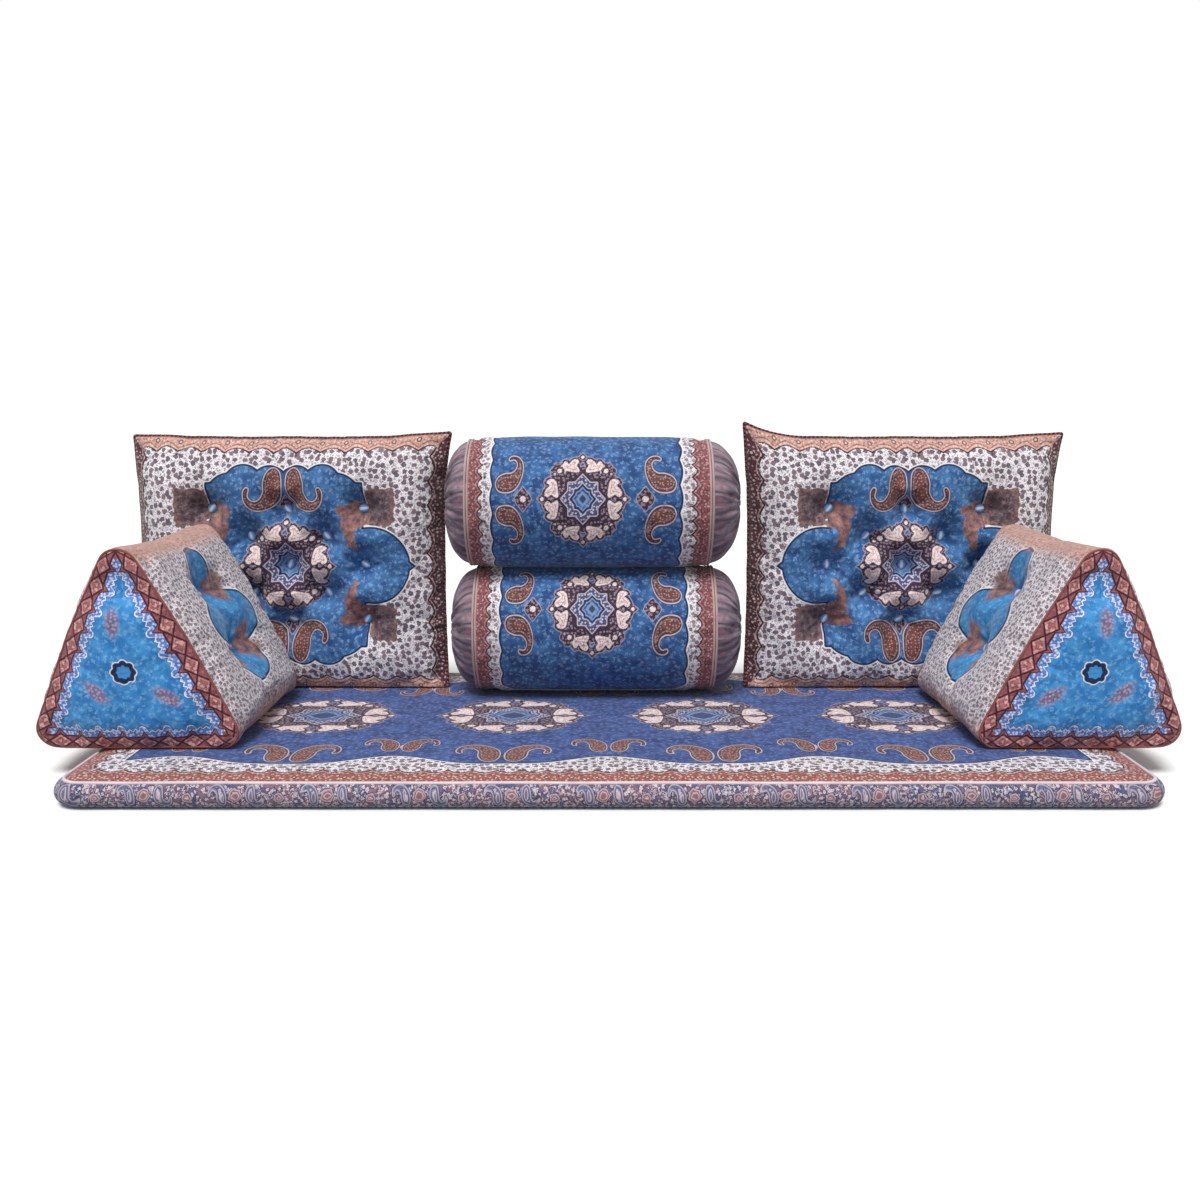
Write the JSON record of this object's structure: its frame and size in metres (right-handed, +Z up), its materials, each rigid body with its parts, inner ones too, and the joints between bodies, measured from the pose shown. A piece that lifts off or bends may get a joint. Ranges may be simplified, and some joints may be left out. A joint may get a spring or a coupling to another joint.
{
  "type": "majlis floor sofa",
  "caption": "Traditional floor seating set: a thin mattress with tufted back cushions, stacked bolsters and wedge armrests in floral medallion print.",
  "frame": {"origin": "on the floor under the middle of the mattress, at the centre of the set's bounding box", "axes": "+X along the mattress to the sitter's left, +Y to the back, +Z up; the seat faces -Y"},
  "size_m": [2.2424, 0.85, 0.6543],
  "materials": {
    "cotton_wadding": "loose matte fibre",
    "plain_backing_cloth": "matte plain weave",
    "printed_border_cloth": "matte printed plush",
    "printed_blue_cloth": "short printed plush",
    "printed_sky_cloth": "short printed plush",
    "mauve_end_cloth": "soft gathered satin weave",
    "cream_cord": "matte cloth-covered cord",
    "terracotta_cord": "matte cloth-covered cord",
    "serrated_braid": "matte twisted braid",
    "blue_button_cloth": "printed cloth drawn over a dome",
    "tufting_twine": "waxed twine",
    "zip_tape": "woven tape and moulded coil",
    "zip_metal": "smooth enamel"
  },
  "bodies": {
    "mattress": {"mattress_core": "cotton_wadding", "mattress_bottom_panel": "plain_backing_cloth", "mattress_side_band": "printed_border_cloth", "mattress_top_panel": "printed_blue_cloth", "mattress_top_piping": "cream_cord", "mattress_zip": "zip_tape"},
    "mattress_zip_slider": {"mattress_zip_slider": "zip_metal"},
    "mattress_zip_pull": {"mattress_zip_pull": "zip_metal"},
    "back_cushion_left": {"back_cushion_left_core": "cotton_wadding", "back_cushion_left_front_panel": "printed_blue_cloth", "back_cushion_left_back_panel": "plain_backing_cloth", "back_cushion_left_edge_braid": "serrated_braid", "back_cushion_left_tuft_twines": "tufting_twine", "back_cushion_left_front_buttons": "blue_button_cloth", "back_cushion_left_back_buttons": "blue_button_cloth"},
    "back_cushion_right": {"back_cushion_right_core": "cotton_wadding", "back_cushion_right_front_panel": "printed_blue_cloth", "back_cushion_right_back_panel": "plain_backing_cloth", "back_cushion_right_edge_braid": "serrated_braid", "back_cushion_right_tuft_twines": "tufting_twine", "back_cushion_right_front_buttons": "blue_button_cloth", "back_cushion_right_back_buttons": "blue_button_cloth"},
    "bolster_lower": {"bolster_lower_core": "cotton_wadding", "bolster_lower_wrap": "printed_blue_cloth", "bolster_lower_right_end": "mauve_end_cloth", "bolster_lower_left_end": "mauve_end_cloth", "bolster_lower_piping": "cream_cord", "bolster_lower_end_buttons": "mauve_end_cloth", "bolster_lower_zip": "zip_tape"},
    "bolster_lower_zip_slider": {"bolster_lower_zip_slider": "zip_metal"},
    "bolster_lower_zip_pull": {"bolster_lower_zip_pull": "zip_metal"},
    "bolster_upper": {"bolster_upper_core": "cotton_wadding", "bolster_upper_wrap": "printed_blue_cloth", "bolster_upper_right_end": "mauve_end_cloth", "bolster_upper_left_end": "mauve_end_cloth", "bolster_upper_piping": "cream_cord", "bolster_upper_end_buttons": "mauve_end_cloth", "bolster_upper_zip": "zip_tape"},
    "bolster_upper_zip_slider": {"bolster_upper_zip_slider": "zip_metal"},
    "bolster_upper_zip_pull": {"bolster_upper_zip_pull": "zip_metal"},
    "armrest_left": {"armrest_left_core": "cotton_wadding", "armrest_left_wrap": "printed_blue_cloth", "armrest_left_front_end": "printed_sky_cloth", "armrest_left_rear_end": "printed_sky_cloth", "armrest_left_piping": "terracotta_cord", "armrest_left_tuft_twines": "tufting_twine", "armrest_left_buttons": "blue_button_cloth"},
    "armrest_right": {"armrest_right_core": "cotton_wadding", "armrest_right_wrap": "printed_blue_cloth", "armrest_right_front_end": "printed_sky_cloth", "armrest_right_rear_end": "printed_sky_cloth", "armrest_right_piping": "terracotta_cord", "armrest_right_tuft_twines": "tufting_twine", "armrest_right_buttons": "blue_button_cloth"}
  },
  "joints": [
    {"name": "back_cushion_left_lift", "type": "slide", "parent": "mattress", "child": "back_cushion_left", "axis": [0, 0, 1], "range_m": [0, 0.62]},
    {"name": "back_cushion_right_lift", "type": "slide", "parent": "mattress", "child": "back_cushion_right", "axis": [0, 0, 1], "range_m": [0, 0.62]},
    {"name": "bolster_lower_lift", "type": "slide", "parent": "mattress", "child": "bolster_lower", "axis": [0, 0, 1], "range_m": [0, 0.62]},
    {"name": "bolster_upper_lift", "type": "slide", "parent": "bolster_lower", "child": "bolster_upper", "axis": [0, 0, 1], "range_m": [0, 0.34]},
    {"name": "armrest_left_lift", "type": "slide", "parent": "mattress", "child": "armrest_left", "axis": [0, 0, 1], "range_m": [0, 0.62]},
    {"name": "armrest_right_lift", "type": "slide", "parent": "mattress", "child": "armrest_right", "axis": [0, 0, 1], "range_m": [0, 0.62]},
    {"name": "mattress_zip_run", "type": "slide", "parent": "mattress", "child": "mattress_zip_slider", "axis": [-1, 0, 0], "range_m": [0, 1.4]},
    {"name": "mattress_zip_pull_swing", "type": "hinge", "parent": "mattress_zip_slider", "child": "mattress_zip_pull", "pos_m": [0.705, 0.4213, 0.025], "axis": [0, 0, -1], "range_deg": [0, 150]},
    {"name": "bolster_lower_zip_run", "type": "slide", "parent": "bolster_lower", "child": "bolster_lower_zip_slider", "axis": [-1, 0, 0], "range_m": [0, 0.38]},
    {"name": "bolster_lower_zip_pull_swing", "type": "hinge", "parent": "bolster_lower_zip_slider", "child": "bolster_lower_zip_pull", "pos_m": [0.1808, 0.3773, 0.2043], "axis": [0, 0, -1], "range_deg": [0, 150]},
    {"name": "bolster_upper_zip_run", "type": "slide", "parent": "bolster_upper", "child": "bolster_upper_zip_slider", "axis": [-1, 0, 0], "range_m": [0, 0.38]},
    {"name": "bolster_upper_zip_pull_swing", "type": "hinge", "parent": "bolster_upper_zip_slider", "child": "bolster_upper_zip_pull", "pos_m": [0.1728, 0.3773, 0.4966], "axis": [0, 0, -1], "range_deg": [0, 150]}
  ]
}
